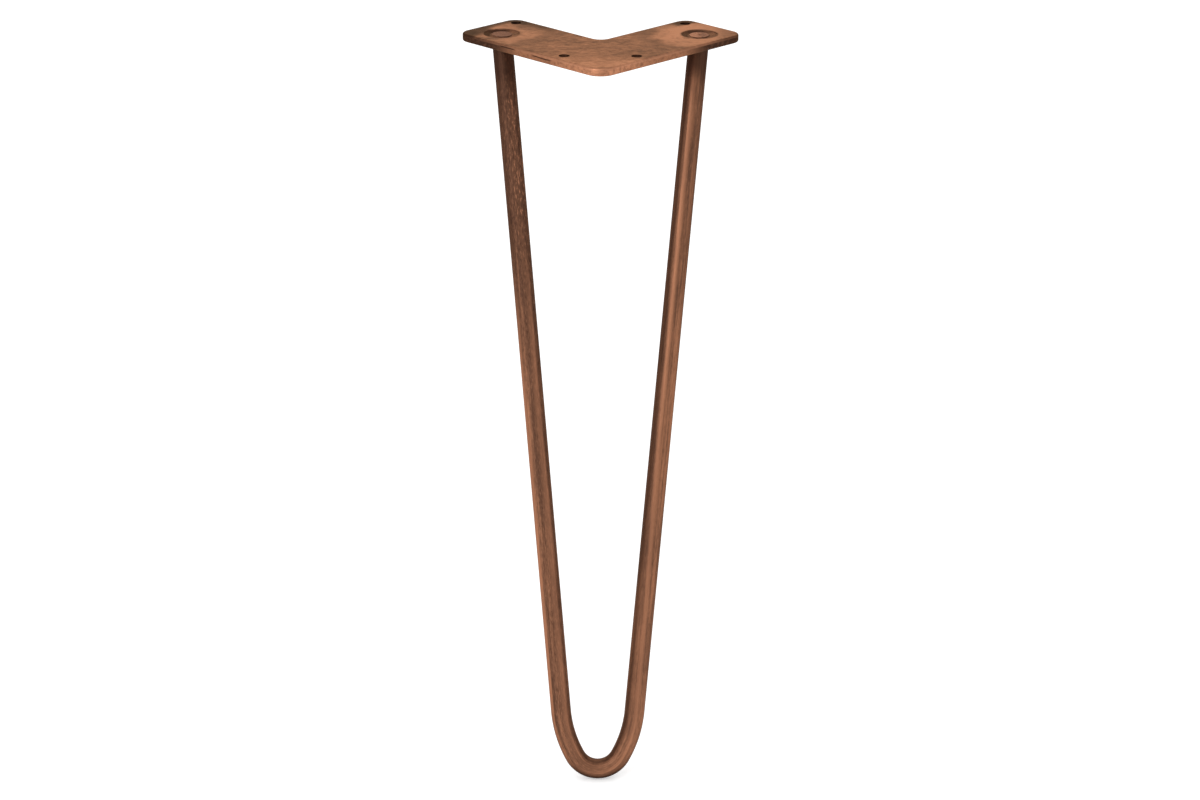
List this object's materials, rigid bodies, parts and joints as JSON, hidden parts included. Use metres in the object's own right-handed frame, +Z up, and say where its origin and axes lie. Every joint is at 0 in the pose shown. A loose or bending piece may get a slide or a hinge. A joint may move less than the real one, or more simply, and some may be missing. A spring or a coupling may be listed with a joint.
{
  "type": "hairpin table leg",
  "caption": "V-plate hairpin table leg: one bent round steel bar, plug-welded at both ends into a flat angled mounting plate with screw holes, in antique copper.",
  "frame": {"origin": "on the plate's top face, the face that is screwed to the table top, where the centre lines of the plate's two arms cross", "axes": "+Z up, out of the top face into the table top; -Y towards the point of the V, which goes to the table's outer corner; +X to the right for a viewer who faces that point"},
  "size_m": [0.1324, 0.1167, 0.3556],
  "materials": {
    "plate": "antique copper plating with brown mottling, satin",
    "bar": "antique copper plating with dark lengthwise drawing marks, satin",
    "weld": "ground weld metal under dark antique copper plating"
  },
  "bodies": {
    "root": {"mounting_plate": "plate", "hairpin_bar": "bar", "plug_weld_left": "weld", "plug_weld_right": "weld"}
  },
  "joints": []
}
